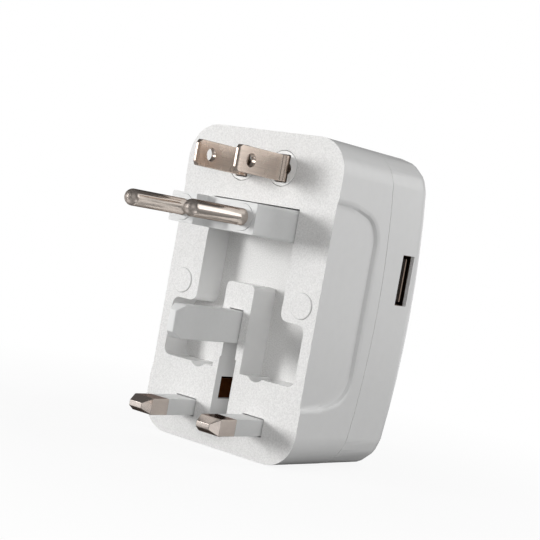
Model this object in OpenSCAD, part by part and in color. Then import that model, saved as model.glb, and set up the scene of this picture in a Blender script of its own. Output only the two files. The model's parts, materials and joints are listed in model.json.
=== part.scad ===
// Universal travel adapter: folding and sliding plugs on one face, a socket face behind and a charging port

/* [Case] */
// Width of the case across its grips
case_w = 49.6; // [48:0.1:56]
// Height of the case from its bottom end to its top end
case_h = 79; // [78:0.1:86]
// Depth of the case from the pin face to the crown of the socket face
case_d = 42; // [40:0.1:50]
// Corner radius of the pin face
corner_r = 8.4; // [6:0.1:10]
// Thickness of the case walls
wall = 2; // [1.6:0.1:2.4]
// Rounding of the rim round the socket face
rim_r = 5; // [3:0.1:5.6]
// Radius of the bow of the socket face, from end to end
back_bow_r = 170; // [150:1:260]
// Depth of the seam between the two shells at mid height
seam_depth = 23.7; // [21:0.1:26]
// Radius of the bow of the seam
seam_bow_r = 165; // [140:1:260]
// Depth of the lip that laps the seam on the inside
lip_h = 1.6; // [1:0.1:2.4]

/* [Grips] */
// Height of a grip at the pin face
grip_h = 48.6; // [36:0.1:56]
// How far a grip reaches from the pin face, to the middle of its lip
grip_reach = 18.6; // [12:0.1:19]
// Radius of a grip's two back corners
grip_r = 7.2; // [4:0.1:8]
// Radius of the bow of a grip's two ends
grip_bow_r = 12; // [9:0.1:16]
// Depth from the pin face of the crown of that bow
grip_bow_depth = 6; // [3:0.1:8]
// How much lower a back corner begins than that crown
grip_drop = 1.2; // [0:0.1:3]
// Depth of a grip at its back edge
grip_in = 1.1; // [0.3:0.1:1.2]
// Depth of a grip at the pin face
grip_in_face = 0.35; // [0.1:0.05:0.8]
// Width of the curved lip round a grip
grip_lip = 2.8; // [1.5:0.1:3]

/* [Recess] */
// Height of the recess's lower edge
recess_low = 19.4; // [19:0.1:22]
// Height of the cross part of the recess
recess_h = 14.9; // [12:0.1:16]
// Distance of the ends of that cross part from the sides of the case
recess_margin = 3.3; // [3.1:0.1:6]
// Corner radius in the recess
recess_r = 2; // [1:0.1:3]
// Radius of the notches that the folded round pins end in
notch_r = 2.9; // [2.6:0.1:3.2]
// Thickness of the walls round the recess and the slot
pocket_wall = 1.6; // [1.2:0.1:1.8]

/* [Round-pin plug] */
// Height of the plug's axis
eu_z = 56.9; // [56.4:0.1:58]
// Distance between the two round pins
eu_spacing = 19; // [18:0.1:19.4]
// Diameter of a round pin
eu_pin_d = 4; // [3.6:0.1:4.4]
// Free length of a round pin
eu_pin_len = 19; // [16:0.1:19.6]
// Width of the folding block
eu_block_w = 27.2; // [25:0.1:28]
// Thickness of the block at its hinge
eu_block_t = 8; // [7.6:0.1:8.4]
// Thickness of the block at its front
eu_front_t = 7.3; // [6.6:0.1:7.6]
// How far the block stands out of the pin face
eu_reach = 15.2; // [13:0.1:16]
// Half width of the gap between the block's two pads
eu_gap_half = 5.6; // [5.2:0.1:6]
// Depth of the gap between the pads
eu_gap_in = 4.1; // [3:0.1:6]
// Outer diameter of the collar round a round pin
collar_d = 6.4; // [5.4:0.1:6.8]

/* [Flat-pin plug] */
// Height of the two flat pins
uk_z = 8.2; // [7.8:0.1:9]
// Distance between the two flat pins
uk_spacing = 22.2; // [21.8:0.1:23]
// Width of a flat pin
uk_pin_w = 6.35; // [5.6:0.05:6.8]
// Thickness of a flat pin
uk_pin_t = 4; // [3.6:0.1:4.4]
// Length of a flat pin from the pin face
uk_pin_len = 17.7; // [16:0.1:18.4]
// Length of the sleeve on a flat pin
uk_sleeve_len = 9.5; // [7:0.1:11]
// Length of the chamfers at a pin's tip
uk_tip_len = 2.6; // [1.5:0.1:4.5]
// How far the tip is drawn in at its two sides
uk_tip_in_w = 1.15; // [0.6:0.05:1.5]
// How far the tip is drawn in above and below
uk_tip_in_t = 1.3; // [0.6:0.05:1.5]

/* [Earth pin] */
// Height of the earth pin above the flat pins
earth_rise = 22.2; // [21.8:0.1:22.8]
// Width of the earth pin
earth_w = 4; // [3.6:0.1:4.4]
// Height of the earth pin's section
earth_h = 8; // [7:0.1:8.4]
// Length of the earth pin from the pin face
earth_len = 22.4; // [20:0.1:22.8]
// Length of the chamfers at the earth pin's tip
earth_tip_len = 2.1; // [1.5:0.1:4.5]
// How far that tip is drawn in at its two sides
earth_tip_in_w = 1; // [0.6:0.05:1.5]
// How far that tip is drawn in above and below
earth_tip_in_h = 1.45; // [0.6:0.05:2]

/* [Blade plug] */
// Height of the blades below the top end
us_from_top = 8.7; // [8.4:0.1:9]
// Distance between the two blades
us_spacing = 12.7; // [12:0.1:13.4]
// Width of a blade
us_blade_w = 6.3; // [5.8:0.1:6.4]
// Thickness of a blade
us_blade_t = 1.5; // [1.2:0.1:1.8]
// Length of a blade from the pin face
us_blade_len = 17.5; // [15:0.1:18]
// Diameter of the hole in a blade
us_hole_d = 3.2; // [2.4:0.1:3.6]
// Distance of that hole from the blade's tip
us_hole_from_tip = 4.8; // [4:0.1:7]
// Diameter of the rolled root of a blade
us_root_d = 3.2; // [2.6:0.1:3.4]
// Radius of the hollow curve where a blade swells into its root
us_root_fillet = 1.6; // [0.8:0.1:2.4]
// Radius of the turning disc round a blade
us_disc_r = 4.3; // [4.2:0.1:4.7]

/* [Sliders] */
// Depth of the trough that a thumb slider runs in
trough_in = 1.6; // [1.2:0.1:1.8]
// Width of that trough
trough_w = 9.6; // [8:0.1:10]
// Length of a thumb slider
knob_len = 6.4; // [5:0.1:7]

/* [Socket] */
// Height of the two line apertures in the socket face
socket_z = 30.5; // [29:0.1:31.5]
// Thickness of the brass bars and clips
brass_t = 0.8; // [0.6:0.1:1]
// Width of the brass bars
bar_w = 4; // [3:0.1:4.4]

/* [Charging port] */
// Height of the port's middle
usb_z = 48.5; // [48.4:0.1:52]
// Distance of the port's middle from the crown of the socket face
usb_from_back = 8.8; // [8.6:0.1:10]
// Length of the port's opening
usb_open_h = 12.8; // [12.6:0.1:13]
// Width of the port's opening
usb_open_w = 5; // [4.8:0.1:5.2]
// Thickness of the case wall that the port's metal shell lies behind
usb_front = 1; // [0.8:0.1:1.2]
// Length of the metal shell
usb_len = 14; // [12:0.1:15]
// Thickness of the metal shell
usb_shell_t = 0.3; // [0.2:0.05:0.4]

/* [Fasteners] */
// Distance of the case screws from the sides of the case
screw_from_side = 5.3; // [4.8:0.1:6]
// Height of the case screws
screw_z = 38.7; // [38.4:0.1:39]
// Diameter of a screw cap
cap_d = 6.3; // [5.6:0.1:6.6]
// Diameter of a screw's shank
screw_d = 2.5; // [2:0.1:3]

/* [Fits] */
// Gap round a sliding or folding piece
slide_gap = 0.25; // [0.15:0.05:0.35]
// Radial gap round a pivot or a fixed round piece
turn_gap = 0.05; // [0.02:0.01:0.1]
// Gap round a blade's turning disc
disc_gap = 0.15; // [0.05:0.05:0.25]
// Gap at the seam between the shells
seam_gap = 0.15; // [0.1:0.05:0.25]

/* [Hidden] */
$fn = 64;
// Facets round a circle of the rounded rim
rim_facets = 24;
// Facets of the large drums that shape the bowed surfaces
drum_facets = 360;
// How far a cutter runs past what it cuts
past = 1;

half_w = case_w / 2;
mid_z = case_h / 2;
eu_total = eu_reach + eu_pin_len;
face_y = (eu_total - case_d) / 2;
inner_half = half_w - wall;

// Round-pin plug and the recess that it folds into
eu_hinge = eu_block_t / 2;
eu_top = eu_z + eu_block_t / 2 + slide_gap;
eu_pin_r = eu_pin_d / 2;
channel_half = eu_block_w / 2 + slide_gap;
pocket_in = eu_block_t + slide_gap;
pocket_back = pocket_in + pocket_wall;
tip_gap = 0.3;
folded_tip = eu_z - eu_hinge - eu_total;
notch_low = folded_tip - tip_gap;
recess_high = recess_low + recess_h;
recess_w = case_w - 2 * recess_margin;
pocket_low = min(notch_low, recess_low) - pocket_wall;
pad_gap = 1.1;
pen_half = eu_gap_half - pad_gap;
pen_top = eu_z - eu_hinge - (eu_reach - eu_gap_in) - 0.7;
pen_r = 1.3;
pivot_r = 1;
pivot_in = 5;
pad_r = 0.9;
collar_t = 1.6;
collar_proud = 0.2;
eu_root_r = eu_pin_r - 0.4;
eu_root_end = eu_hinge - 2 * pivot_r;
eu_shoulder = -eu_reach - collar_proud;

// Earth pin and its slot
earth_z = uk_z + earth_rise;
earth_hinge = earth_h / 2;
slot_half = earth_w / 2 + slide_gap;
slot_foot_half = slot_half + 0.45;
slot_step = earth_z - earth_h;
slot_low = earth_z - earth_hinge - earth_len - tip_gap;
slot_high = earth_z + earth_h / 2 + slide_gap;
slot_in = earth_h + slide_gap;
slot_back = max(slot_in + pocket_wall, pocket_back);
slot_wall_x = slot_foot_half + pocket_wall;
earth_pivot_half = pen_half - 0.8;
earth_bore_half = earth_pivot_half + turn_gap;
window_low = slot_low + 8;
window_h = 5.6;
window_in = 2.1;

// Carriage of the flat pins
uk_travel = uk_pin_len;
uk_x = uk_spacing / 2;
uk_near = wall + past;
uk_block_half = 5;
uk_base = wall + slide_gap;
uk_roof = uk_z + 5.4;
bridge_near = slot_back + 0.8;
bridge_t = 2.9;
uk_far = bridge_near + bridge_t;
bridge_base = 4.2;
core_w = uk_pin_w - 2;
core_t = uk_pin_t - 2;
sleeve_end = uk_near + 3;
core_end = sleeve_end + 4;
wiper_t = 0.5;

// Carriage of the blades
us_travel = us_blade_len;
us_z = case_h - us_from_top;
us_x = us_spacing / 2;
us_root_r = us_root_d / 2;
us_root_out = 0.2;
us_near = 4.6;
us_t = 5;
us_far = us_near + us_t;
shank_r = 1.5;
head_r = 2.9;
head_t = 1;
us_root_bore = 0.75;
us_tip_len = 1;
disc_open_w = us_root_d + 2 * slide_gap;
disc_open_h = us_blade_w + 2 * slide_gap;
disc_open_r = 0.3;
disc_notch_r = 1.5;
disc_notch_x = us_root_d / 3;
disc_flange_r = us_disc_r + 0.8;
disc_flange_t = 1;

// Thumb sliders
liner = trough_in + 1.6;
trough_half = trough_w / 2;
knob_half = trough_half - slide_gap;
knob_sunk = 0.25;
stem_half = 1.1;
us_roof = case_h - liner - slide_gap;
us_base = us_z - 5.2;
uk_stem = (bridge_near + uk_far) / 2;
us_stem = (us_near + us_far) / 2;
stem_len = 2.4;

// Brass
bar_in = 11;
bar_base = uk_roof + wiper_t + 0.4;
bar_top = eu_top;
finger_x = channel_half + pocket_wall + slide_gap + turn_gap;
finger_h = 4;
strip_roof = pocket_low - 0.2;
strip_base = window_low - 1.8;
clip_near = 18.5;
clip_far = case_d - 6.5;
clip_half = 2.2;
clip_x = [8, 15.5];
bar_back = pocket_back + brass_t;

// Charging port and its board
usb_depth = case_d - usb_from_back;
usb_mouth = half_w - usb_front - 2 * turn_gap;
shell_h = 12.5 + 2 * usb_shell_t;
shell_w = 5.12 + 2 * usb_shell_t;
board_back = usb_depth - shell_w / 2;
board_t = 1.6;
board_near = board_back - board_t;
board_w = 16.7;
board_end = inner_half - 0.5;
board_x = [board_end - board_w, board_end];
board_z = [screw_z + 3.6, us_base - 2.6];
tongue_t = 1.84;
tongue_off = 0.6;
tongue_h = 11.1;
tongue_base = 3;
tongue_end = usb_mouth - 0.3;

// Case screws
screw_x = half_w - screw_from_side;
cap_r = cap_d / 2;
cap_t = 1.2;
cap_proud = 0.3;
cap_seat = cap_t - cap_proud;
head_seat = cap_seat + 2;
screw_head_r = 2.3;
screw_r = screw_d / 2;
screw_end = case_d - 7;
boss_r = screw_r + 1.55;
boss_wide_r = cap_r + 1.2;

shell_white = "#f1f1ef";
plug_white = "#e9edee";
nickel = "#b9ada2";
brass = "#b5883f";
copper = "#8a4d25";

// Place along the depth of the case, counted from the pin face
function at_depth(d) = face_y + d;

// Extrudes an outline drawn as X and height, between two depths
module between_depths(near, far) {
  translate([0, at_depth(far), 0]) rotate([90, 0, 0]) linear_extrude(far - near) children();
}

// Extrudes an outline drawn as depth and height, between two X planes
module across(from, to) {
  translate([from, face_y, 0]) rotate([90, 0, 90]) linear_extrude(to - from) children();
}

// Extrudes an outline drawn as X and depth, between two heights
module upward(from, to) {
  translate([0, face_y, from]) linear_extrude(to - from) children();
}

// Box between two corners given as X, depth and height
module block(low, high) {
  translate([low[0], at_depth(low[1]), low[2]]) cube(high - low);
}

// Round rod along the depth
module depth_rod(x, z, r, near, far) {
  translate([x, at_depth(far), z]) rotate([90, 0, 0]) cylinder(r = r, h = far - near);
}

// Round rod along X
module cross_rod(depth, z, r, from, to) {
  translate([from, at_depth(depth), z]) rotate([0, 90, 0]) cylinder(r = r, h = to - from);
}

// Rectangle with round corners, about its middle
module rounded(w, h, r) {
  square([w - 2 * r, h], center = true);
  square([w, h - 2 * r], center = true);
  for (x = [-1, 1], z = [-1, 1]) translate([x * (w / 2 - r), z * (h / 2 - r)]) circle(r);
}

// Outline of the case, drawn in by an inset
module case_outline(inset) {
  translate([0, mid_z]) rounded(case_w - 2 * inset, case_h - 2 * inset, corner_r - inset);
}

// Large drum across the case, whose rim is a bowed surface with its crown at a depth
module drum(depth, r) {
  translate([0, at_depth(depth) - r, mid_z]) rotate([0, 90, 0])
    cylinder(r = r, h = case_w + 4 * past, center = true, $fn = drum_facets);
}

// Turns a shape made at the bottom end into one at the top end
module at_top() {
  translate([0, 0, case_h]) mirror([0, 0, 1]) children();
}

// Mirrors a shape made on the right to the left
module on_side(side) {
  mirror([side < 0 ? 1 : 0, 0, 0]) children();
}

// Hollow inside the two shells
module cavity() {
  intersection() {
    between_depths(wall, case_d) case_outline(wall);
    drum(case_d - rim_r, back_bow_r - rim_r);
  }
  intersection() {
    between_depths(wall, case_d) case_outline(wall + rim_r * 0.4);
    drum(case_d - wall, back_bow_r - wall);
  }
}

// Depth of the centre of the rim's rounding at a height
function rim_depth(z) = case_d - back_bow_r + sqrt(pow(back_bow_r - rim_r, 2) - pow(z - mid_z, 2));

// Places of the rim's rounding, up one side and round its two corners
function rim_side() = [for (t = [-1:0.25:1]) [half_w - rim_r, mid_z + t * (mid_z - corner_r)]];
rim_turn = corner_r - rim_r;
function rim_corner(s) = [for (a = [30:30:90])
  [half_w - corner_r + rim_turn * cos(a), mid_z + s * (mid_z - corner_r + rim_turn * sin(a))]];

// Rounded and bowed form of the rear of the case
module rear_form() {
  ball_r = rim_r / cos(180 / rim_facets);
  hull() {
    between_depths(case_d / 4, case_d / 4 + past) case_outline(0, $fn = 32);
    for (p = concat(rim_side(), rim_corner(-1), rim_corner(1)), side = [-1, 1])
      translate([side * p[0], at_depth(rim_depth(p[1])), p[1]]) sphere(ball_r, $fn = rim_facets);
  }
}

// Front of the case up to the seam
module front_form() {
  intersection() {
    between_depths(0, seam_depth + past) case_outline(0);
    drum(seam_depth, seam_bow_r);
  }
}

// Ring of wall at the seam between two insets, as far back as the rear shell
module seam_ring(outer, inner) {
  difference() {
    between_depths(case_d / 4, case_d * 0.75) case_outline(outer);
    between_depths(case_d / 4 - past, case_d * 0.75 + past) case_outline(inner);
  }
}

// Steps of the lip round a grip: place across the lip from its middle, and depth, as shares of the whole
grip_steps = [[-0.5, 1], [-0.1, 0.88], [0.1, 0.3], [0.5, 0]];

// Rods that bound one end of a grip at its back corner, bow and front, as depth, height and radius
grip_rods = [
  [grip_reach - grip_r, grip_h / 2 - grip_drop - grip_r, grip_r],
  [grip_bow_depth, grip_h / 2 - grip_bow_r, grip_bow_r],
  [-grip_lip, grip_h / 2 - grip_lip, grip_lip]
];

// Slab of a grip's outline at one step of its lip, out past the side of the case, with the tilt of its floor
module grip_slab(step) {
  tilt = atan(step[1] * (grip_in - grip_in_face) / grip_reach);
  translate([half_w - step[1] * grip_in_face, face_y, mid_z]) rotate([0, 0, tilt])
    for (rod = grip_rods, s = [-1, 1]) translate([0, rod[0], s * rod[1]]) rotate([0, 90, 0])
      cylinder(r = rod[2] + grip_lip * step[0], h = grip_in + past, $fn = 48);
}

// Shallow grip with a lip curved both ways, open at the pin face
module grip_cut() {
  for (i = [1:len(grip_steps) - 1]) hull() {
    grip_slab(grip_steps[i - 1]);
    grip_slab(grip_steps[i]);
  }
}

// Outline of the recess with its channel and notches, grown by a margin
module recess_outline(grow) {
  translate([-channel_half - grow, recess_low])
    square([2 * (channel_half + grow), eu_top + grow - recess_low]);
  translate([0, (recess_low + recess_high) / 2])
    rounded(recess_w + 2 * grow, recess_h + 2 * grow, recess_r + grow);
  for (s = [-1, 1]) translate([s * eu_spacing / 2, notch_low + notch_r]) {
    circle(notch_r + grow);
    translate([-notch_r - grow, 0]) square([2 * (notch_r + grow), notch_r]);
  }
}

// Rounding where the channel opens into the cross part
module channel_corners() {
  for (s = [0, 1]) mirror([s, 0]) translate([channel_half - past, recess_high - past]) difference() {
    square(recess_r + past);
    translate([recess_r + past, recess_r + past]) circle(recess_r);
  }
}

// Tongue of the pin face that stands in the recess and carries the earth pin
module peninsula_outline() {
  foot = recess_low - notch_r;
  translate([-pen_half, foot]) square([2 * pen_half, pen_top - pen_r - foot]);
  translate([pen_r - pen_half, foot]) square([2 * (pen_half - pen_r), pen_top - foot]);
  for (s = [-1, 1]) translate([s * (pen_half - pen_r), pen_top - pen_r]) circle(pen_r);
}

// Outline of the slot that the earth pin folds into, with its wider foot
module slot_outline() {
  translate([-slot_half, slot_low]) square([2 * slot_half, slot_high - slot_low]);
  translate([-slot_foot_half, slot_low]) square([2 * slot_foot_half, slot_step - slot_low]);
}

// Outline of the walls round that slot, which stand on the bottom end
module slot_walls_outline() {
  translate([-slot_wall_x, 0]) square([2 * slot_wall_x, slot_high + pocket_wall]);
}

// Extra thickness of an end wall behind a slider's trough, made at the bottom end
module slider_liner(stem) {
  near = stem - knob_len / 2 - slide_gap - wall;
  far = stem + knob_len / 2 + uk_travel + slide_gap + wall;
  block([-trough_half - past, near, 0], [trough_half + past, far, liner]);
}

// Trough and stem slot of a thumb slider, made at the bottom end
module slider_cut(stem, travel) {
  knob_reach = knob_len / 2 + slide_gap;
  stem_reach = stem_len / 2 + slide_gap;
  block([-trough_half, stem - knob_reach, -past], [trough_half, stem + travel + knob_reach, trough_in]);
  block([-stem_half - slide_gap, stem - stem_reach, -past],
    [stem_half + slide_gap, stem + travel + stem_reach, liner + past]);
}

module slider_liners() {
  slider_liner(uk_stem);
  at_top() slider_liner(us_stem);
}

module slider_cuts() {
  slider_cut(uk_stem, uk_travel);
  at_top() slider_cut(us_stem, us_travel);
}

module pin_side_housing() {
  color(shell_white) difference() {
    union() {
      difference() {
        front_form();
        cavity();
      }
      intersection() {
        front_form();
        union() {
          between_depths(0, pocket_back) recess_outline(pocket_wall);
          between_depths(0, slot_back) slot_walls_outline();
          slider_liners();
          for (s = [-1, 1]) {
            depth_rod(s * screw_x, screw_z, boss_wide_r, 0, head_seat + wall);
            depth_rod(s * screw_x, screw_z, boss_r, 0, case_d);
          }
        }
      }
    }
    difference() {
      between_depths(-past, pocket_in) {
        recess_outline(0);
        channel_corners();
      }
      between_depths(-2 * past, pocket_back) peninsula_outline();
    }
    between_depths(-past, slot_in) slot_outline();
    block([-slot_wall_x - past, window_in, window_low], [0, slot_in, window_low + window_h]);
    cross_rod(eu_hinge, eu_z, pivot_r + turn_gap, -half_w + wall, half_w - wall);
    cross_rod(earth_hinge, earth_z, pivot_r + turn_gap, -earth_bore_half, earth_bore_half);
    for (s = [-1, 1]) {
      translate([s * uk_x, 0, uk_z]) between_depths(-past, wall + past)
        square([uk_pin_w + 2 * slide_gap, uk_pin_t + 2 * slide_gap], center = true);
      depth_rod(s * us_x, us_z, us_disc_r + disc_gap, -past, wall + past);
      depth_rod(s * screw_x, screw_z, cap_r + turn_gap, -past, cap_seat);
      depth_rod(s * screw_x, screw_z, screw_head_r + turn_gap, -past, head_seat);
      depth_rod(s * screw_x, screw_z, screw_r + turn_gap, 0, case_d);
      on_side(s) grip_cut();
    }
    slider_cuts();
    difference() {
      seam_ring(wall / 2, wall);
      drum(seam_depth - lip_h - seam_gap, seam_bow_r - lip_h - seam_gap);
    }
  }
}

// Opening in the socket face for one line pin of every plug, on the right
module line_aperture() {
  translate([uk_x, socket_z]) square([uk_pin_w + 0.9, uk_pin_t + 0.9], center = true);
  translate([eu_spacing / 2, socket_z]) circle(eu_pin_r + 0.7);
  translate([us_x, socket_z]) square([us_blade_t + 0.9, us_blade_w + 0.9], center = true);
  translate([us_x + 0.5, socket_z]) rotate(30) square([us_blade_t + 0.9, us_blade_w + 0.9], center = true);
}

module socket_apertures() {
  for (s = [0, 1]) mirror([s, 0]) line_aperture();
  translate([0, socket_z + earth_rise]) square([earth_w + 0.9, earth_h + 0.9], center = true);
}

// Shallow panel sunk in the socket face round the apertures
module socket_panel() {
  sunk = 0.6;
  difference() {
    translate([0, 0, socket_z + earth_rise / 2]) between_depths(case_d - rim_r, case_d + past)
      rounded(uk_spacing + 13, earth_rise + 21, 6);
    drum(case_d - sunk, back_bow_r - sunk);
  }
}

module board_posts() {
  post = 3;
  for (x = [board_x[0], board_x[1] - post])
    block([x, board_back, board_z[1] - post], [x + post, case_d, board_z[1]]);
}

module socket_side_housing() {
  color(shell_white) difference() {
    union() {
      difference() {
        rear_form();
        cavity();
        drum(seam_depth + seam_gap, seam_bow_r + seam_gap);
      }
      difference() {
        intersection() {
          rear_form();
          union() {
            board_posts();
            slider_liners();
            for (s = [-1, 1]) depth_rod(s * screw_x, screw_z, boss_r, 0, case_d);
          }
        }
        drum(seam_depth + seam_gap, seam_bow_r + seam_gap);
      }
      difference() {
        intersection() {
          seam_ring(wall / 2 + seam_gap, wall);
          drum(seam_depth + past, seam_bow_r + past);
        }
        drum(seam_depth - lip_h, seam_bow_r - lip_h);
      }
    }
    for (s = [-1, 1]) depth_rod(s * screw_x, screw_z, screw_r + turn_gap, 0, screw_end + past);
    between_depths(case_d - rim_r - wall, case_d + past) socket_apertures();
    socket_panel();
    block([half_w - wall - past, usb_depth - usb_open_w / 2, usb_z - usb_open_h / 2],
      [half_w + past, usb_depth + usb_open_w / 2, usb_z + usb_open_h / 2]);
    across(half_w - wall - past, half_w - usb_front) translate([usb_depth, usb_z])
      square([shell_w + 2 * turn_gap, shell_h + 2 * turn_gap], center = true);
    slider_cuts();
  }
}

module screw_cap(side) {
  color(shell_white) depth_rod(side * screw_x, screw_z, cap_r, -cap_proud, cap_seat);
}
module screw_cap_left() { screw_cap(-1); }
module screw_cap_right() { screw_cap(1); }

module case_screws() {
  color("silver") for (s = [-1, 1]) difference() {
    union() {
      depth_rod(s * screw_x, screw_z, screw_head_r, cap_seat, head_seat);
      depth_rod(s * screw_x, screw_z, screw_r, cap_seat, screw_end);
    }
    for (a = [0, 90]) translate([s * screw_x, at_depth(cap_seat), screw_z]) rotate([0, a, 0])
      cube([screw_r * 2.4, 2, 0.6], center = true);
  }
}

// Folding block: a round root, a tapering body and two pads that carry the round pins
module eu_block() {
  neck = eu_block_t / 2 - turn_gap;
  color(plug_white) difference() {
    intersection() {
      union() {
        cross_rod(eu_hinge, eu_z, eu_block_t / 2, -eu_block_w / 2, eu_block_w / 2);
        across(-eu_block_w / 2, eu_block_w / 2) translate([0, eu_z]) polygon([
          [eu_hinge, -neck], [-eu_reach, -eu_front_t / 2], [-eu_reach, eu_front_t / 2], [eu_hinge, neck]
        ]);
      }
      translate([0, 0, eu_z]) between_depths(-eu_reach - past, pocket_in)
        rounded(eu_block_w, eu_block_t, pad_r);
    }
    block([-eu_gap_half, -eu_reach - past, eu_z - eu_block_t],
      [eu_gap_half, eu_gap_in - eu_reach, eu_z + eu_block_t]);
    for (s = [-1, 1]) {
      depth_rod(s * eu_spacing / 2, eu_z, eu_root_r + turn_gap, -eu_reach - past, eu_root_end);
      depth_rod(s * eu_spacing / 2, eu_z, collar_d / 2 + turn_gap, -eu_reach - past, collar_t - eu_reach);
      on_side(s) cross_rod(eu_hinge, eu_z, pivot_r + turn_gap, eu_block_w / 2 - pivot_in, half_w);
    }
  }
}

module eu_pin(side) {
  color(nickel) {
    depth_rod(side * eu_spacing / 2, eu_z, eu_pin_r, eu_pin_r - eu_total, eu_shoulder);
    depth_rod(side * eu_spacing / 2, eu_z, eu_root_r, eu_shoulder - past, eu_root_end);
    translate([side * eu_spacing / 2, at_depth(eu_pin_r - eu_total), eu_z]) sphere(eu_pin_r);
  }
}
module eu_pin_left() { eu_pin(-1); }
module eu_pin_right() { eu_pin(1); }

module eu_collar(side) {
  color(plug_white) difference() {
    depth_rod(side * eu_spacing / 2, eu_z, collar_d / 2, eu_shoulder, collar_t - eu_reach);
    depth_rod(side * eu_spacing / 2, eu_z, eu_root_r + turn_gap,
      -eu_reach - past, past + collar_t - eu_reach);
  }
}
module eu_collar_left() { eu_collar(-1); }
module eu_collar_right() { eu_collar(1); }

module eu_pivot(side) {
  color(brass) on_side(side)
    cross_rod(eu_hinge, eu_z, pivot_r, eu_block_w / 2 - pivot_in, channel_half + pocket_wall + slide_gap);
}
module eu_pivot_left() { eu_pivot(-1); }
module eu_pivot_right() { eu_pivot(1); }

// Bar with a tip chamfered on all four sides, centred on a height, from its tip to its root
module chamfered_bar(w, h, tip, root, tip_w, tip_h, len) {
  intersection() {
    across(-w / 2, w / 2) polygon([
      [root, -h / 2], [tip + len, -h / 2], [tip, -tip_h / 2],
      [tip, tip_h / 2], [tip + len, h / 2], [root, h / 2]
    ]);
    upward(-h / 2, h / 2) polygon([
      [-w / 2, root], [-w / 2, tip + len], [-tip_w / 2, tip],
      [tip_w / 2, tip], [w / 2, tip + len], [w / 2, root]
    ]);
  }
}

module earth_pin() {
  color(plug_white) difference() {
    union() {
      translate([0, 0, earth_z])
        chamfered_bar(earth_w, earth_h, -earth_len, earth_hinge,
          earth_w - 2 * earth_tip_in_w, earth_h - 2 * earth_tip_in_h, earth_tip_len);
      cross_rod(earth_hinge, earth_z, earth_h / 2, -earth_w / 2, earth_w / 2);
    }
    cross_rod(earth_hinge, earth_z, pivot_r + turn_gap, -earth_w, earth_w);
  }
}

module earth_pivot() {
  color("silver") cross_rod(earth_hinge, earth_z, pivot_r, -earth_pivot_half, earth_pivot_half);
}

module uk_carriage() {
  color(plug_white) difference() {
    union() {
      for (x = [-uk_x, uk_x])
        block([x - uk_block_half, uk_near, uk_base], [x + uk_block_half, uk_far, uk_roof]);
      block([-uk_x, bridge_near, bridge_base], [uk_x, uk_far, uk_roof - wall]);
    }
    for (s = [-1, 1]) translate([s * uk_x, 0, uk_z]) {
      between_depths(uk_near - past, sleeve_end) square([uk_pin_w, uk_pin_t], center = true);
      between_depths(uk_near - past, core_end) square([core_w, core_t], center = true);
    }
  }
}

module uk_pin(side) {
  color(nickel) translate([side * uk_x, 0, uk_z]) {
    chamfered_bar(uk_pin_w, uk_pin_t, -uk_pin_len, -uk_sleeve_len,
      uk_pin_w - 2 * uk_tip_in_w, uk_pin_t - 2 * uk_tip_in_t, uk_tip_len);
    between_depths(-uk_sleeve_len, core_end) square([core_w, core_t], center = true);
  }
}
module uk_pin_left() { uk_pin(-1); }
module uk_pin_right() { uk_pin(1); }

module uk_sleeve(side) {
  color(plug_white) translate([side * uk_x, 0, uk_z]) between_depths(-uk_sleeve_len, sleeve_end)
    difference() {
      square([uk_pin_w, uk_pin_t], center = true);
      square([core_w, core_t], center = true);
    }
}
module uk_sleeve_left() { uk_sleeve(-1); }
module uk_sleeve_right() { uk_sleeve(1); }

module uk_wiper(side) {
  x = side * uk_x;
  color(brass)
    block([x - bar_w / 2, uk_near + past, uk_roof], [x + bar_w / 2, uk_far - past, uk_roof + wiper_t]);
}
module uk_wiper_left() { uk_wiper(-1); }
module uk_wiper_right() { uk_wiper(1); }

// Thumb slider at the bottom end: a ribbed plate in its trough and a stem up to the carriage
module slider_knob(stem, top) {
  ribs = 4;
  rib_r = 0.35;
  face = knob_sunk + rib_r;
  block([-knob_half, stem - knob_len / 2, face], [knob_half, stem + knob_len / 2, trough_in - slide_gap]);
  block([-stem_half, stem - stem_len / 2, face], [stem_half, stem + stem_len / 2, top]);
  for (i = [1:ribs]) cross_rod(stem + knob_len * (i / (ribs + 1) - 0.5), face, rib_r, -knob_half, knob_half);
}
module uk_slider_knob() { color(plug_white) slider_knob(uk_stem, bridge_base); }
module us_slider_knob() { color(plug_white) at_top() slider_knob(us_stem, case_h - us_roof); }

module us_carriage() {
  half = us_x + head_r + 1.2;
  color(plug_white) difference() {
    block([-half, us_near, us_base], [half, us_far, us_roof]);
    for (s = [-1, 1]) depth_rod(s * us_x, us_z, shank_r + turn_gap, 0, us_far + past);
  }
}

// Swell between a blade and its rolled root, bounded by a hollow arc that meets both
module root_swell() {
  arc_x = us_blade_t / 2 + us_root_fillet;
  arc_depth = -us_root_out - sqrt(pow(us_root_fillet + us_root_r, 2) - pow(arc_x, 2));
  for (s = [0, 1]) mirror([s, 0]) difference() {
    polygon([[0, arc_depth], [arc_x, arc_depth], [0, -us_root_out]]);
    translate([arc_x, arc_depth]) circle(us_root_fillet);
  }
}

// Blade with a drilled and chamfered tip, a rolled root and a round shank held by a head
module us_blade(side) {
  color(nickel) translate([side * us_x, 0, us_z]) difference() {
    union() {
      chamfered_bar(us_blade_t, us_blade_w, -us_blade_len, -us_root_out,
        us_blade_t - 0.8, us_blade_w - 1.8, us_tip_len);
      upward(-us_blade_w / 2, us_blade_w / 2) {
        root_swell();
        translate([0, -us_root_out]) circle(us_root_r);
      }
      depth_rod(0, 0, shank_r, -us_root_out, us_far + head_t);
      depth_rod(0, 0, head_r, us_far + turn_gap, us_far + head_t);
    }
    upward(-us_blade_w, us_blade_w) translate([0, -us_root_out]) circle(us_root_bore);
    cross_rod(us_hole_from_tip - us_blade_len, 0, us_hole_d / 2, -past, past);
  }
}
module us_blade_left() { us_blade(-1); }
module us_blade_right() { us_blade(1); }

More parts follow.
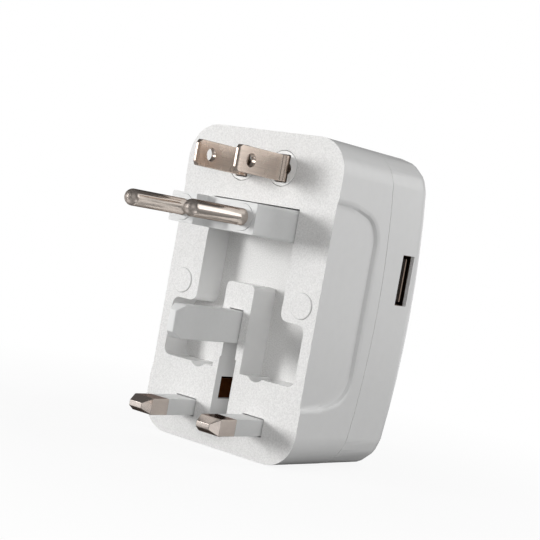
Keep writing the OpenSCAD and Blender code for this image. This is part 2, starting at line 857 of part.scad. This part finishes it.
module us_disc(side) {
  color(shell_white) translate([side * us_x, 0, us_z]) difference() {
    union() {
      depth_rod(0, 0, us_disc_r, 0, wall + turn_gap + disc_flange_t);
      depth_rod(0, 0, disc_flange_r, wall + turn_gap, wall + turn_gap + disc_flange_t);
    }
    between_depths(-past, wall + 3 * past) {
      rounded(disc_open_w, disc_open_h, disc_open_r);
      for (s = [-1, 1]) translate([s * disc_notch_x, 0]) circle(disc_notch_r);
    }
  }
}
module us_disc_left() { us_disc(-1); }
module us_disc_right() { us_disc(1); }

// Bar along the back of the recess, with a finger to a pivot and a spring clip behind a line aperture
module busbar(side) {
  leaf = socket_z + clip_half;
  low_leaf = socket_z - clip_half - brass_t;
  color(brass) on_side(side) {
    block([bar_in, pocket_back, bar_base], [bar_in + bar_w, bar_back, bar_top]);
    block([bar_in, pocket_back, eu_z - finger_h / 2], [finger_x + brass_t, bar_back, eu_z + finger_h / 2]);
    block([finger_x, wall + past, eu_z - finger_h / 2], [finger_x + brass_t, bar_back, eu_z + finger_h / 2]);
    block([bar_in, pocket_back, leaf], [bar_in + bar_w, clip_near + brass_t, leaf + brass_t]);
    block([clip_x[0], clip_near, low_leaf], [clip_x[1], clip_near + brass_t, leaf + brass_t]);
    block([clip_x[0], clip_near, leaf], [clip_x[1], clip_far, leaf + brass_t]);
    block([clip_x[0], clip_near, low_leaf], [clip_x[1], clip_far, low_leaf + brass_t]);
  }
}
module live_busbar() { busbar(1); }
module neutral_busbar() { busbar(-1); }

// Copper strip on the outside of the slot wall, bent across to its bar
module contact_strip(side) {
  color(copper) on_side(side) {
    block([slot_wall_x, wall + 0.5, strip_base], [slot_wall_x + brass_t, slot_back - 0.5, strip_roof]);
    block([slot_wall_x, wall + 0.5, bar_base], [slot_wall_x + brass_t, bar_back, strip_roof]);
    block([slot_wall_x, pocket_back, bar_base], [bar_in, bar_back, strip_roof]);
  }
}
module live_contact_strip() { contact_strip(1); }
module neutral_contact_strip() { contact_strip(-1); }

module usb_shell() {
  color("silver") across(usb_mouth - usb_len, usb_mouth) translate([usb_depth, usb_z]) difference() {
    square([shell_w, shell_h], center = true);
    square([shell_w - 2 * usb_shell_t, shell_h - 2 * usb_shell_t], center = true);
  }
}

module usb_tongue() {
  base_w = shell_w - 2 * usb_shell_t - 2 * turn_gap;
  base_h = shell_h - 2 * usb_shell_t - 2 * turn_gap;
  color("#3a2a20") {
    across(usb_mouth - usb_len, usb_mouth - usb_len + tongue_base) translate([usb_depth, usb_z])
      square([base_w, base_h], center = true);
    across(usb_mouth - usb_len, tongue_end) translate([usb_depth + tongue_off, usb_z])
      square([tongue_t, tongue_h], center = true);
  }
}

module usb_contacts() {
  strip_t = 0.25;
  under = usb_depth + tongue_off - tongue_t / 2;
  color(brass) for (z = [-3.5, -1, 1, 3.5])
    block([usb_mouth - usb_len + tongue_base, under - strip_t, usb_z + z - 0.5],
      [tongue_end - 0.5, under, usb_z + z + 0.5]);
}

module usb_board() {
  color("darkgreen") block([board_x[0], board_near, board_z[0]], [board_x[1], board_back, board_z[1]]);
}

// Places and sizes of the parts on the board
core_size = [12, 11, 6];
core_edge = 1.3;
core_x = board_x[1] - core_edge - core_size[0] / 2;
coil_size = [8, 7.4, 11];
coil_edge = 1;
core_z = board_z[1] - coil_edge - coil_size[2] / 2;
part_edge = 0.4;
input_r = 3.2;
input_len = 11;
output_r = 2.5;
output_len = 8;
rectifier_size = [2.6, 2.5, 6];

module transformer_coil(grow) {
  translate([core_x, at_depth(board_near - core_size[1] / 2), core_z - coil_size[2] / 2 - grow])
    linear_extrude(coil_size[2] + 2 * grow) rounded(coil_size[0] + 2 * grow, coil_size[1] + 2 * grow, 1.5);
}

module transformer_core() {
  color("#3b3b3f") difference() {
    block([core_x - core_size[0] / 2, board_near - core_size[1], core_z - core_size[2] / 2],
      [core_x + core_size[0] / 2, board_near, core_z + core_size[2] / 2]);
    transformer_coil(turn_gap);
  }
}

module transformer_winding() { color("#c9a227") transformer_coil(0); }

module capacitor(x, z, r, len) {
  depth_rod(x, z, r, board_near - len, board_near);
}
module input_capacitor() {
  color("#26303f")
    capacitor(board_x[1] - input_r - 2 * part_edge, board_z[0] + input_r + part_edge, input_r, input_len);
}
module output_capacitor() {
  color("#26303f")
    capacitor(board_x[0] + output_r + part_edge, board_z[0] + output_r + part_edge, output_r, output_len);
}
module rectifier() {
  x = board_x[0] + part_edge;
  half = rectifier_size[2] / 2;
  color("#1d1d1f") block([x, board_near - rectifier_size[1], core_z - half],
    [x + rectifier_size[0], board_near, core_z + half]);
}

lead_r = 0.6;
lead_z = board_z[0] + 2 * input_r + part_edge + lead_r + turn_gap;
lead_turn = bar_back + 3;
lead_x = board_x[0] + 1;

module live_lead() {
  color("brown") depth_rod(bar_in + bar_w / 2, lead_z, lead_r, bar_back, board_near);
}

module neutral_lead() {
  from = -bar_in - bar_w / 2;
  color("steelblue") {
    depth_rod(from, lead_z, lead_r, bar_back, lead_turn);
    cross_rod(lead_turn, lead_z, lead_r, from, lead_x);
    depth_rod(lead_x, lead_z, lead_r, lead_turn, board_near);
    for (x = [from, lead_x]) translate([x, at_depth(lead_turn), lead_z]) sphere(lead_r);
  }
}

pin_side_housing();
socket_side_housing();
screw_cap_left();
screw_cap_right();
case_screws();
eu_block();
eu_pin_left();
eu_pin_right();
eu_collar_left();
eu_collar_right();
eu_pivot_left();
eu_pivot_right();
earth_pin();
earth_pivot();
uk_carriage();
uk_pin_left();
uk_pin_right();
uk_sleeve_left();
uk_sleeve_right();
uk_wiper_left();
uk_wiper_right();
uk_slider_knob();
us_carriage();
us_slider_knob();
us_blade_left();
us_blade_right();
us_disc_left();
us_disc_right();
live_busbar();
neutral_busbar();
live_contact_strip();
neutral_contact_strip();
usb_shell();
usb_tongue();
usb_contacts();
usb_board();
transformer_core();
transformer_winding();
input_capacitor();
output_capacitor();
rectifier();
live_lead();
neutral_lead();
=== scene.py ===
import json
import math

import bpy
from mathutils import Matrix, Vector

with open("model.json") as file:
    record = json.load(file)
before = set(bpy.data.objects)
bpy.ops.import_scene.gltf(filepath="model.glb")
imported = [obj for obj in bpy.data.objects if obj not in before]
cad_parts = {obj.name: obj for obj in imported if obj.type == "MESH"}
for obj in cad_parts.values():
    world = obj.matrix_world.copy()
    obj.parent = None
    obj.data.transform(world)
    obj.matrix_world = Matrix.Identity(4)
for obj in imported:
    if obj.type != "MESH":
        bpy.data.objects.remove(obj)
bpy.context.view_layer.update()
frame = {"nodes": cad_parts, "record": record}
nodes = frame["nodes"]
scene = bpy.context.scene
scene.view_settings.view_transform = "Standard"

MM = 0.001
SIDES = ("left", "right")
WHITE = (1.0, 1.0, 1.0, 1.0)

# Camera, fitted to the standard sizes of the plugs
CAMERA_PLACE = Vector((0.2103, -0.2514, 0.0548))
CAMERA_RIGHT = Vector((0.7588, 0.6264, 0.1788))
CAMERA_DOWN = Vector((0.1564, 0.0913, -0.9836))
CAMERA_LENS = 88.5
CAMERA_SENSOR = 36.0
CAMERA_NEAR = 0.01


def add_camera():
    """Perspective camera in front of the right edge of the pin face"""
    data = bpy.data.cameras.new("camera")
    data.lens = CAMERA_LENS
    data.sensor_width = CAMERA_SENSOR
    data.clip_start = CAMERA_NEAR
    camera = bpy.data.objects.new("camera", data)
    right = CAMERA_RIGHT.normalized()
    up = -CAMERA_DOWN
    up = (up - up.dot(right) * right).normalized()
    back = right.cross(up)
    turn = Matrix((right, up, back)).transposed()
    camera.matrix_world = Matrix.Translation(CAMERA_PLACE) @ turn.to_4x4()
    scene.collection.objects.link(camera)
    scene.camera = camera


# Shader helpers; a mix node keeps its sockets for each data type at places of their own
MIX_COLOURS = (6, 7)
MIX_COLOUR_RESULT = 2
MIX_FLOATS = (2, 3)
MIX_FLOAT_RESULT = 0


def new_graph(name):
    """New material with its node tree and shader"""
    material = bpy.data.materials.new(name)
    material.use_nodes = True
    return material, material.node_tree, material.node_tree.nodes["Principled BSDF"]


def set_input(tree, socket, value):
    """Links a socket to another one, or gives it a value"""
    if isinstance(value, bpy.types.NodeSocket):
        tree.links.new(value, socket)
    else:
        socket.default_value = value


def add_node(tree, kind, settings=None, inputs=None):
    """New node with its settings, and with its inputs linked or given a value"""
    node = tree.nodes.new(kind)
    for key, value in (settings or {}).items():
        setattr(node, key, value)
    for key, value in (inputs or {}).items():
        set_input(tree, node.inputs[key], value)
    return node


def math_node(tree, operation, a, b):
    """Result of a sum on two numbers"""
    return add_node(tree, "ShaderNodeMath", {"operation": operation}, {0: a, 1: b}).outputs["Value"]


def vector_node(tree, operation, a, b=(0.0, 0.0, 0.0)):
    """Outputs of a sum on two vectors"""
    return add_node(tree, "ShaderNodeVectorMath", {"operation": operation}, {0: a, 1: b}).outputs


def along(tree, vector, axis):
    """One coordinate of a vector"""
    return add_node(tree, "ShaderNodeSeparateXYZ", {}, {"Vector": vector}).outputs[axis]


def towards(tree, coords, way):
    """How much a direction points one way"""
    return vector_node(tree, "DOT_PRODUCT", coords, way)["Value"]


def map_range(tree, value, limits, ends=(0.0, 1.0)):
    """Takes a number between two limits to between two ends"""
    inputs = {"Value": value, "From Min": limits[0], "From Max": limits[1]}
    inputs.update({"To Min": ends[0], "To Max": ends[1]})
    return add_node(tree, "ShaderNodeMapRange", {}, inputs).outputs["Result"]


def noise(tree, coords, scale, detail):
    """Soft noise between zero and one"""
    inputs = {"Vector": coords, "Scale": scale, "Detail": detail}
    return add_node(tree, "ShaderNodeTexNoise", {}, inputs).outputs["Fac"]


def mix_colour(tree, factor, a, b):
    """Blend of two colours, each a socket or three numbers"""
    node = add_node(tree, "ShaderNodeMix", {"data_type": "RGBA"}, {"Factor": factor})
    for place, value in zip(MIX_COLOURS, (a, b)):
        colour = value if isinstance(value, bpy.types.NodeSocket) else (*value, 1.0)
        set_input(tree, node.inputs[place], colour)
    return node.outputs[MIX_COLOUR_RESULT]


def mix_float(tree, factor, a, b):
    """Blend of two numbers"""
    inputs = {0: factor, MIX_FLOATS[0]: a, MIX_FLOATS[1]: b}
    return add_node(tree, "ShaderNodeMix", {"data_type": "FLOAT"}, inputs).outputs[MIX_FLOAT_RESULT]


def bump(tree, height, strength, distance):
    """Normal of a surface with a fine relief"""
    inputs = {"Height": height, "Strength": strength, "Distance": distance}
    return add_node(tree, "ShaderNodeBump", {}, inputs).outputs["Normal"]


def object_coords(tree):
    """Place on a piece, in metres"""
    return add_node(tree, "ShaderNodeTexCoord").outputs["Object"]


def facing(tree, axis, limits):
    """One where a surface of a piece faces along one of its axes, either way"""
    normal = add_node(tree, "ShaderNodeTexCoord").outputs["Normal"]
    inputs = {0: along(tree, normal, axis)}
    amount = add_node(tree, "ShaderNodeMath", {"operation": "ABSOLUTE"}, inputs).outputs["Value"]
    return map_range(tree, amount, limits)


# White moulded plastic of the shells, with the dark and the pale end of each mottle
FACE_COLOURS = ((0.745, 0.74, 0.73), (0.895, 0.89, 0.88))
FACE_ROUGHNESS = 0.55
FACE_LIMITS = (0.93, 0.99)
SIDE_COLOURS = ((0.795, 0.795, 0.79), (0.825, 0.825, 0.82))
SIDE_ROUGHNESS = 0.16
GRAIN_SCALE = 3200.0
GRAIN_DETAIL = 2.0
GRAIN_LIMITS = (0.3, 0.7)
GRAIN_STRENGTH = 0.6
GRAIN_DEPTH = 0.05 * MM
PEEL_SCALE = 420.0
PEEL_DETAIL = 1.0
PEEL_SHARE = 0.1


def shell_material():
    """White moulded plastic, spark-textured on the faces and smooth on the sides"""
    material, tree, shader = new_graph("shell")
    coords = object_coords(tree)
    textured = facing(tree, "Y", FACE_LIMITS)
    grain = noise(tree, coords, GRAIN_SCALE, GRAIN_DETAIL)
    peel = noise(tree, coords, PEEL_SCALE, PEEL_DETAIL)
    face_colour = mix_colour(tree, map_range(tree, grain, GRAIN_LIMITS), *FACE_COLOURS)
    side_colour = mix_colour(tree, peel, *SIDE_COLOURS)
    tree.links.new(mix_colour(tree, textured, side_colour, face_colour), shader.inputs["Base Color"])
    roughness = mix_float(tree, textured, SIDE_ROUGHNESS, FACE_ROUGHNESS)
    tree.links.new(roughness, shader.inputs["Roughness"])
    relief = math_node(tree, "MULTIPLY", grain, textured)
    relief = math_node(tree, "ADD", relief, math_node(tree, "MULTIPLY", peel, PEEL_SHARE))
    tree.links.new(bump(tree, relief, GRAIN_STRENGTH, GRAIN_DEPTH), shader.inputs["Normal"])
    return material


# Faint mottle of smooth plastic, in its colour, roughness and relief
PLASTIC_SHINE = 0.35
MOTTLE_SCALE = 900.0
MOTTLE_DETAIL = 3.0
MOTTLE_SHADE = 0.95
MOTTLE_ROUGHNESS = 0.05
MOTTLE_STRENGTH = 0.3
MOTTLE_DEPTH = 0.01 * MM


def plastic_material(name, colour, roughness):
    """Smooth moulded plastic with a faint mottle"""
    material, tree, shader = new_graph(name)
    shader.inputs["Specular IOR Level"].default_value = PLASTIC_SHINE
    mottle = noise(tree, object_coords(tree), MOTTLE_SCALE, MOTTLE_DETAIL)
    dark = tuple(c * MOTTLE_SHADE for c in colour)
    tree.links.new(mix_colour(tree, mottle, dark, colour), shader.inputs["Base Color"])
    rough = mix_float(tree, mottle, roughness - MOTTLE_ROUGHNESS, roughness + MOTTLE_ROUGHNESS)
    tree.links.new(rough, shader.inputs["Roughness"])
    tree.links.new(bump(tree, mottle, MOTTLE_STRENGTH, MOTTLE_DEPTH), shader.inputs["Normal"])
    return material


# Metal: its tint at a glancing view, dark as painted shade on the rims, its drawn streaks and its smears
PAINTED_DARK_RIM = (0.2, 0.16, 0.145, 1.0)
STREAK_DETAIL = 4.0
STREAK_LIMITS = (0.3, 0.65)
STREAK_DEPTH = 0.01 * MM
SMEAR_SCALE = 250.0
SMEAR_DETAIL = 2.0
SMEAR_LIMITS = (0.2, 0.8)
SMEAR_ROUGHNESS = (0.75, 1.25)


def metal_material(name, colour, roughness, across=900.0, along_y=900.0, shade=0.8, relief=0.2, brushed=None):
    """Drawn metal, whose streaks run along the depth of the case where along_y is small

    brushed is an axis, the limits of facing along it, and how many times rougher the metal is there.
    """
    material, tree, shader = new_graph(name)
    shader.inputs["Metallic"].default_value = 1.0
    # Painted shade: a dark tint at a glancing view darkens the rims of all the metal
    shader.inputs["Specular Tint"].default_value = PAINTED_DARK_RIM
    coords = object_coords(tree)
    stretched = vector_node(tree, "MULTIPLY", coords, (across, along_y, across))["Vector"]
    streak = map_range(tree, noise(tree, stretched, 1.0, STREAK_DETAIL), STREAK_LIMITS)
    dark = tuple(c * shade for c in colour)
    tree.links.new(mix_colour(tree, streak, dark, colour), shader.inputs["Base Color"])
    smear = noise(tree, coords, SMEAR_SCALE, SMEAR_DETAIL)
    rough = map_range(tree, smear, SMEAR_LIMITS, [roughness * share for share in SMEAR_ROUGHNESS])
    if brushed:
        axis, limits, times = brushed
        rougher = mix_float(tree, facing(tree, axis, limits), 1.0, times)
        rough = math_node(tree, "MULTIPLY", rough, rougher)
    tree.links.new(rough, shader.inputs["Roughness"])
    tree.links.new(bump(tree, streak, relief, STREAK_DEPTH), shader.inputs["Normal"])
    return material


# Tongue of the charging port, with a painted highlight: its end is coloured pale from a depth on
TONGUE_COLOURS = ((0.006, 0.004, 0.003), (0.03, 0.02, 0.015))
TONGUE_HIGHLIGHT = (0.45, 0.345, 0.275)
TONGUE_HIGHLIGHT_DEPTHS = (30.25 * MM, 30.35 * MM)
TONGUE_END = (0.5, 0.9)
TONGUE_SCALE = 700.0
TONGUE_DETAIL = 2.0
TONGUE_ROUGHNESS = 0.6
TONGUE_SHINE = 0.15


def tongue_material():
    """Dark plastic of the charging port's tongue, with a painted highlight, a pale line along its end"""
    material, tree, shader = new_graph("port_tongue")
    coords = object_coords(tree)
    mottle = noise(tree, coords, TONGUE_SCALE, TONGUE_DETAIL)
    body = mix_colour(tree, mottle, *TONGUE_COLOURS)
    # Painted highlight: the end of the tongue is coloured pale from a depth on, where its edge catches the
    # light
    highlight = map_range(tree, along(tree, coords, "Y"), TONGUE_HIGHLIGHT_DEPTHS)
    highlight = math_node(tree, "MULTIPLY", highlight, facing(tree, "X", TONGUE_END))
    tree.links.new(mix_colour(tree, highlight, body, TONGUE_HIGHLIGHT), shader.inputs["Base Color"])
    shader.inputs["Roughness"].default_value = TONGUE_ROUGHNESS
    shader.inputs["Specular IOR Level"].default_value = TONGUE_SHINE
    return material


def make_materials():
    """One material for each material slot of the record that isn't finished node by node"""
    return {
        "shell": shell_material(),
        "plug_plastic": plastic_material("plug_plastic", (0.83, 0.835, 0.83), 0.42),
        "steel": metal_material("steel", (0.55, 0.55, 0.55), 0.3),
        "brass": metal_material("brass", (0.72, 0.5, 0.2), 0.3),
        "copper": metal_material("copper", (0.1, 0.035, 0.012), 0.45),
        "dark_plastic": plastic_material("dark_plastic", (0.03, 0.02, 0.016), 0.5),
        "board": plastic_material("board", (0.04, 0.2, 0.09), 0.4),
        "ferrite": plastic_material("ferrite", (0.1, 0.1, 0.11), 0.6),
        "winding_tape": plastic_material("winding_tape", (0.7, 0.5, 0.08), 0.3),
        "capacitor_sleeve": plastic_material("capacitor_sleeve", (0.08, 0.1, 0.16), 0.3),
        "live_insulation": plastic_material("live_insulation", (0.25, 0.1, 0.04), 0.4),
        "neutral_insulation": plastic_material("neutral_insulation", (0.1, 0.25, 0.55), 0.4),
    }


# Where the pins are rougher: on their flat sides, and on their domed tips
FLATS = ("X", (0.9, 0.99))
DOMES = ("Y", (0.1, 0.5))


def make_finishes():
    """Finishes of single nodes, which stand in for the material of their slot"""
    pairs = {
        "eu_pin_": metal_material("polished_nickel", (0.85, 0.76, 0.69), 0.1, across=3000.0, along_y=40.0,
                                  relief=0.05, brushed=(*DOMES, 4.5)),
        "uk_pin_": metal_material("satin_nickel", (0.81, 0.72, 0.66), 0.15, across=1500.0, shade=0.95,
                                  relief=0.02, brushed=(*FLATS, 3.0)),
        "us_blade_": metal_material("blade_nickel", (0.93, 0.79, 0.69), 0.2, across=4000.0, along_y=120.0,
                                    shade=0.85, relief=0.1, brushed=(*FLATS, 1.4)),
        # Painted light: the discs' white plastic is made whiter than the face, so they stay bright in the
        # blades' shadow
        "us_disc_": plastic_material("disc_plastic_painted_bright", (0.96, 0.96, 0.95), 0.4),
    }
    finishes = {name + side: material for name, material in pairs.items() for side in SIDES}
    # Painted shade: the metal shell of the port is coloured dark brown for the shade inside the port
    finishes["usb_shell"] = metal_material("port_shell_painted_dark", (0.16, 0.11, 0.08), 0.4)
    finishes["usb_tongue"] = tongue_material()
    return finishes


def dress_nodes():
    """Gives every CAD node a finish of its own, or the material of its slot"""
    materials = make_materials()
    finishes = make_finishes()
    for part in frame["record"]["subparts"]:
        node = nodes[part["node"]]
        node.data.materials.clear()
        node.data.materials.append(finishes.get(part["node"]) or materials[part["material_slot"]])


# Rounding of the sharp edges: nodes by its width in millimetres, and the least angle of an edge in degrees
EDGES = {
    0.3: ["eu_block"],
    0.25: ["pin_side_housing", "socket_side_housing", "earth_pin"],
    0.2: ["screw_cap_left", "screw_cap_right"],
    0.15: ["usb_tongue"],
    0.12: ["uk_pin_left", "uk_pin_right", "uk_sleeve_left", "uk_sleeve_right", "uk_slider_knob",
           "us_blade_left", "us_blade_right", "us_disc_left", "us_disc_right", "us_slider_knob"],
    0.05: ["usb_shell", "usb_contacts", "eu_collar_left", "eu_collar_right"],
}
EDGE_ANGLE = 30.0
BLUNT_ANGLES = {"uk_pin_left": 15.0, "uk_pin_right": 15.0}
EDGE_SEGMENTS = 3
WELD_DISTANCE = 0.002 * MM
FLAT_ANGLE = 0.4


def soften(name, width, angle):
    """Rounds the sharp edges of a CAD node without touching its mesh"""
    node = nodes[name]
    weld = node.modifiers.new("weld", "WELD")
    weld.merge_threshold = WELD_DISTANCE
    flat = node.modifiers.new("flat", "DECIMATE")
    flat.decimate_type = "DISSOLVE"
    flat.angle_limit = math.radians(FLAT_ANGLE)
    bevel = node.modifiers.new("bevel", "BEVEL")
    bevel.width = width
    bevel.segments = EDGE_SEGMENTS
    bevel.limit_method = "ANGLE"
    bevel.angle_limit = math.radians(angle)
    bevel.miter_outer = "MITER_ARC"
    bevel.use_clamp_overlap = True
    normal = node.modifiers.new("normal", "WEIGHTED_NORMAL")
    normal.keep_sharp = False


def soften_nodes():
    """Rounds the edges of every node that shows"""
    for width, names in EDGES.items():
        for name in names:
            soften(name, width * MM, BLUNT_ANGLES.get(name, EDGE_ANGLE))


# Floor, white to the camera, with the object's shadow kept near it
FLOOR_RADIUS = 3.0
FLOOR_CORNERS = 96
FLOOR_DROP = 0.2 * MM
FLOOR_BOUNCE = (0.36, 0.36, 0.36)
FLOOR_SEEN = (0.9, 0.9, 0.9)
FLOOR_ROUGHNESS = 0.9
SHADOW_LIMITS = (0.05, 0.16)
SHADOW_WHITE = (0.9, 1.0)

# Light of the world on the object, from level to high up
WORLD_LIGHT = (0.53, 0.42)
WORLD_HEIGHTS = (0.0, 0.8)

# Studio that metal mirrors: white paper behind, lit patches of floor, the lamps' soft boxes, dim elsewhere
BACKDROP = (-0.64, 0.77, 0.0)
WALL_LIMITS = (0.3, 0.7)
WALL_HEIGHTS = (0.05, 0.3)
PAPER_LIMITS = (0.05, 0.25)
LIT_PATCHES = {(-0.05, -0.085, 0.0): 1.0, (0.075, -0.02, 0.0): 0.8}
PATCH_LIMITS = (0.03, 0.045)
STUDIO_DIM = 0.13
BOX_EDGE = 2.0
BOX_CORE = 0.7

# Lamps, with the shine of each one's soft box in a mirror
LAMP_AIM = Vector((0, 0, 0.04))
LAMPS = {
    "key": {"place": (-0.571, -0.815, 0.138), "size": 0.28, "power": 6.5, "shine": 4.5},
    "side": {"place": (0.36, 0.4, 0.2), "size": 0.3, "power": 0.85, "shine": 1.6},
    "fill": {"place": (0.6, -0.52, 0.16), "size": 0.5, "power": 1.0, "shine": 0.7},
}


def add_floor():
    """Wide floor just under the object"""
    bpy.ops.mesh.primitive_circle_add(vertices=FLOOR_CORNERS, radius=FLOOR_RADIUS, fill_type="NGON",
                                      location=(0, 0, -FLOOR_DROP))
    floor = bpy.context.object
    floor.name = "floor"
    material, tree, shader = new_graph("floor")
    shader.inputs["Roughness"].default_value = FLOOR_ROUGHNESS
    shader.inputs["Specular IOR Level"].default_value = 0.0
    coords = object_coords(tree)
    path = add_node(tree, "ShaderNodeLightPath").outputs
    seen = math_node(tree, "MAXIMUM", path["Is Camera Ray"], path["Is Transmission Ray"])
    tree.links.new(mix_colour(tree, seen, FLOOR_BOUNCE, FLOOR_SEEN), shader.inputs["Base Color"])
    away = vector_node(tree, "LENGTH", coords)["Value"]
    share = math_node(tree, "MULTIPLY", map_range(tree, away, SHADOW_LIMITS, SHADOW_WHITE), seen)
    paper_and_lit_patches = map_range(tree, towards(tree, coords, BACKDROP), PAPER_LIMITS)
    # Painted pools of light: patches of floor that glossy rays see white, where the key lamp's light falls
    for middle, shine in LIT_PATCHES.items():
        apart = vector_node(tree, "DISTANCE", coords, middle)["Value"]
        paper_and_lit_patches = math_node(tree, "MAXIMUM", paper_and_lit_patches, map_range(tree, apart, PATCH_LIMITS, (shine, 0.0)))
    paper_and_lit_patches = math_node(tree, "MULTIPLY", paper_and_lit_patches, path["Is Glossy Ray"])
    share = math_node(tree, "ADD", share, paper_and_lit_patches)
    white = add_node(tree, "ShaderNodeEmission", {}, {"Color": WHITE, "Strength": 1.0})
    mix = add_node(tree, "ShaderNodeMixShader", {}, {0: share, 1: shader.outputs[0], 2: white.outputs[0]})
    tree.links.new(mix.outputs[0], tree.nodes["Material Output"].inputs["Surface"])
    floor.data.materials.append(material)


def add_world():
    """Plain light on the object, white to the camera, and the studio in gloss and through glass"""
    world = bpy.data.worlds.new("world")
    scene.world = world
    world.use_nodes = True
    tree = world.node_tree
    coords = add_node(tree, "ShaderNodeTexCoord").outputs["Generated"]
    height = along(tree, coords, "Z")
    wall = map_range(tree, towards(tree, coords, BACKDROP), WALL_LIMITS)
    wall = math_node(tree, "MULTIPLY", wall, map_range(tree, height, WALL_HEIGHTS, (1.0, 0.0)))
    studio = math_node(tree, "MAXIMUM", wall, STUDIO_DIM)
    for lamp in LAMPS.values():
        way = Vector(lamp["place"]) - LAMP_AIM
        spread = math.atan(0.5 * lamp["size"] / way.length)
        limits = (math.cos(BOX_EDGE * spread), math.cos(BOX_CORE * spread))
        box = map_range(tree, towards(tree, coords, way.normalized()), limits, (0.0, lamp["shine"]))
        studio = math_node(tree, "MAXIMUM", studio, box)
    path = add_node(tree, "ShaderNodeLightPath").outputs
    mirrored = math_node(tree, "MAXIMUM", path["Is Glossy Ray"], path["Is Transmission Ray"])
    level = mix_float(tree, mirrored, map_range(tree, height, WORLD_HEIGHTS, WORLD_LIGHT), studio)
    level = mix_float(tree, path["Is Camera Ray"], level, 1.0)
    background = tree.nodes["Background"]
    background.inputs["Color"].default_value = WHITE
    tree.links.new(level, background.inputs["Strength"])


def add_lamps():
    """Round area lamps, which metal mirrors only as the studio's soft boxes"""
    for name, settings in LAMPS.items():
        data = bpy.data.lights.new(name, "AREA")
        data.shape = "DISK"
        data.size = settings["size"]
        data.energy = settings["power"]
        lamp = bpy.data.objects.new(name, data)
        lamp.location = settings["place"]
        lamp.rotation_euler = (LAMP_AIM - lamp.location).to_track_quat("-Z", "Y").to_euler()
        lamp.visible_glossy = False
        scene.collection.objects.link(lamp)


add_camera()
add_floor()
add_world()
add_lamps()
dress_nodes()
soften_nodes()
